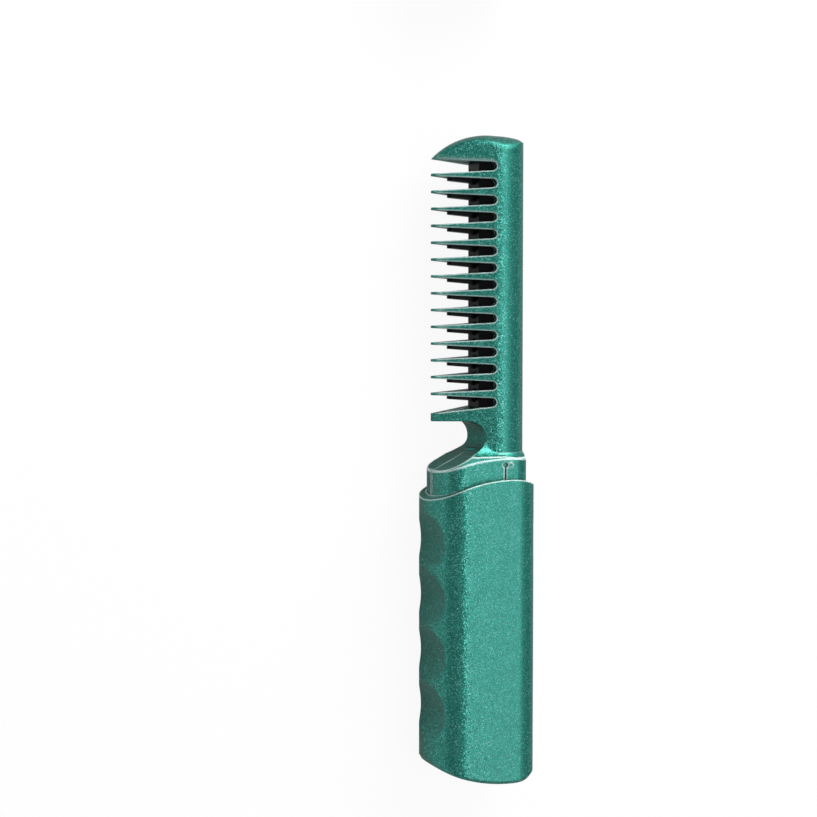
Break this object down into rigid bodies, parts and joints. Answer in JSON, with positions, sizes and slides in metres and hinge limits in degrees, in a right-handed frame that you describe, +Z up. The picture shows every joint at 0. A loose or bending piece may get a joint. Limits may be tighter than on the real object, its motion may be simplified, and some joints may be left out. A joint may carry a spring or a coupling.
{
  "type": "hot comb",
  "caption": "Cordless heated hair comb: handle with finger scoops, number display and power button, black heated teeth between green guard teeth, and a pull-off cap.",
  "frame": {"origin": "on the flat side of the handle that the comb lies on, at mid-width, 45 mm above the lowest point of the base", "axes": "+Y from the base to the comb's tip, +X towards the spine, the display and the button, +Z up from the flat side it lies on"},
  "size_m": [0.0336, 0.353, 0.0248],
  "materials": {
    "pearl_green": "metallic pearl lacquer",
    "heater_black": "black ceramic coating",
    "lens_black": "polished",
    "insulating_film": "smooth",
    "electrode_metal": "rolled",
    "ptc_ceramic": "sintered",
    "bead_glass": "smooth",
    "lead_silicone": "smooth",
    "chassis_plastic": "moulded",
    "cell_wrap": "shrink wrap",
    "nickel": "rolled",
    "foam": "foamed",
    "board_green": "solder mask",
    "chip_black": "moulded",
    "screw_steel": "plated",
    "display_white": "smooth",
    "switch_black": "moulded",
    "socket_steel": "plated"
  },
  "bodies": {
    "comb": {"handle_sleeve": "pearl_green", "comb_shell_left": "pearl_green", "comb_shell_right": "pearl_green", "heater_comb": "heater_black", "heater_film": "insulating_film", "electrode_plates": "electrode_metal", "ptc_elements": "ptc_ceramic", "thermistor": "bead_glass", "heater_leads": "lead_silicone", "inner_chassis": "chassis_plastic", "battery_cell": "cell_wrap", "battery_tabs": "nickel", "battery_foam": "foam", "main_board": "board_green", "board_screws": "screw_steel", "board_parts": "chip_black", "display_module": "display_white", "display_lens": "lens_black", "tact_switch": "switch_black", "usb_socket": "socket_steel", "usb_tongue": "chip_black", "shell_screws": "screw_steel"},
    "button": {"power_button": "pearl_green", "switch_plunger": "switch_black"},
    "cap": {"cap_shell": "pearl_green"}
  },
  "joints": [
    {"name": "cap_slide", "type": "slide", "parent": "comb", "child": "cap", "axis": [0, 1, 0], "range_m": [-0.155, 0]},
    {"name": "button_press", "type": "slide", "parent": "comb", "child": "button", "axis": [-1, 0, 0], "range_m": [0, 0.0005], "stiffness_N_per_m": 2000}
  ]
}
